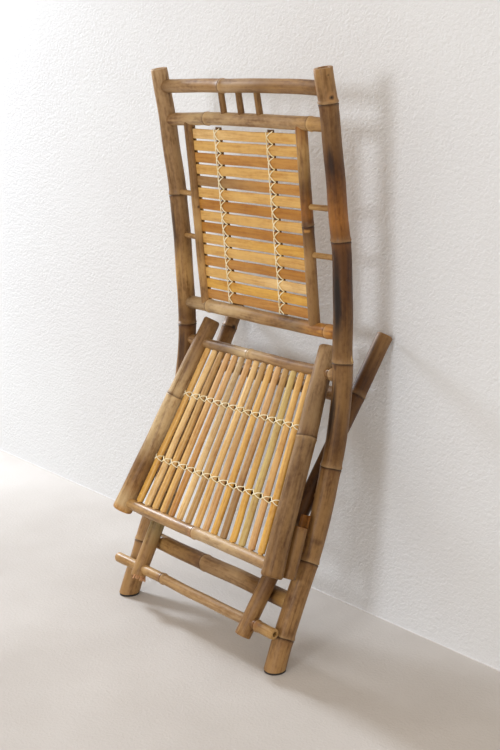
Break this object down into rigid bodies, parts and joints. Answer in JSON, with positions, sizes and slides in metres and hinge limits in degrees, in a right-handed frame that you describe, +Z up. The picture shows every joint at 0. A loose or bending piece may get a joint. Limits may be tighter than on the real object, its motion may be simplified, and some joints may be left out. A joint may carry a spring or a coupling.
{
  "type": "bamboo folding chair",
  "caption": "Bamboo folding chair, folded: bent tall frame with slatted back, hinged stick seat with hook blocks, and crossed rear legs whose rod holds the open seat.",
  "frame": {"origin": "middle of the bounding box, on the floor that the foot pads stand on", "axes": "+Z up; the sitter faces -Y, so the sitter's left is +X; the part is stored folded, as it leans in the picture"},
  "size_m": [0.4428, 0.3034, 0.9499],
  "materials": {
    "bamboo_pole": "satin, browned by fire, smooth skin of the culm",
    "bamboo_rail": "satin",
    "bamboo_rod": "satin",
    "bamboo_stick": "satin, split and rounded sticks",
    "bamboo_slat": "satin, flat split slats",
    "twine_and_splint": "matt twisted twine over a dark splint",
    "rubber_pad": "matt"
  },
  "bodies": {
    "frame": {"spindle_1": "bamboo_rail", "spindle_2": "bamboo_rail", "spindle_3": "bamboo_rail", "panel_stile_left": "bamboo_rail", "panel_stile_right": "bamboo_rail", "back_slat_01": "bamboo_slat", "back_slat_02": "bamboo_slat", "back_slat_03": "bamboo_slat", "back_slat_04": "bamboo_slat", "back_slat_05": "bamboo_slat", "back_slat_06": "bamboo_slat", "back_slat_07": "bamboo_slat", "back_slat_08": "bamboo_slat", "back_slat_09": "bamboo_slat", "back_slat_10": "bamboo_slat", "back_slat_11": "bamboo_slat", "back_slat_12": "bamboo_slat", "back_slat_13": "bamboo_slat", "back_slat_14": "bamboo_slat", "back_slat_15": "bamboo_slat", "back_splint_right": "twine_and_splint", "back_splint_left": "twine_and_splint", "pivot_pin_left": "bamboo_rod", "pivot_pin_right": "bamboo_rod", "stile_left": "bamboo_pole", "foot_pad_left": "rubber_pad", "stile_right": "bamboo_pole", "foot_pad_right": "rubber_pad", "top_rail": "bamboo_rail", "upper_rail": "bamboo_rail", "lower_back_rail": "bamboo_rail", "front_stretcher": "bamboo_rail"},
    "seat": {"hook_block_left": "bamboo_rail", "seat_rail_left": "bamboo_pole", "hook_block_right": "bamboo_rail", "seat_rail_right": "bamboo_pole", "seat_stick_01": "bamboo_stick", "seat_stick_02": "bamboo_stick", "seat_stick_03": "bamboo_stick", "seat_stick_04": "bamboo_stick", "seat_stick_05": "bamboo_stick", "seat_stick_06": "bamboo_stick", "seat_stick_07": "bamboo_stick", "seat_stick_08": "bamboo_stick", "seat_stick_09": "bamboo_stick", "seat_stick_10": "bamboo_stick", "seat_stick_11": "bamboo_stick", "seat_stick_12": "bamboo_stick", "seat_stick_13": "bamboo_stick", "seat_stick_14": "bamboo_stick", "seat_stick_15": "bamboo_stick", "seat_rear_bar": "bamboo_rail", "seat_front_bar": "bamboo_rail", "seat_splint_rear": "twine_and_splint", "seat_splint_front": "twine_and_splint"},
    "legs": {"rear_leg_left": "bamboo_pole", "rear_leg_right": "bamboo_pole", "rear_stretcher": "bamboo_rail", "support_rod": "bamboo_rod"}
  },
  "joints": [
    {"name": "seat_hinge", "type": "hinge", "parent": "frame", "child": "seat", "pos_m": [0, 0.0263, 0.467], "axis": [-1, 0, 0], "range_deg": [0, 57]},
    {"name": "leg_pivot", "type": "hinge", "parent": "frame", "child": "legs", "pos_m": [0, -0.00875, 0.268], "axis": [-1, 0, 0], "range_deg": [0, 91.2]}
  ],
  "couplings": [
    {"joint": "leg_pivot", "follows": "seat_hinge", "ratio": 1.6}
  ]
}
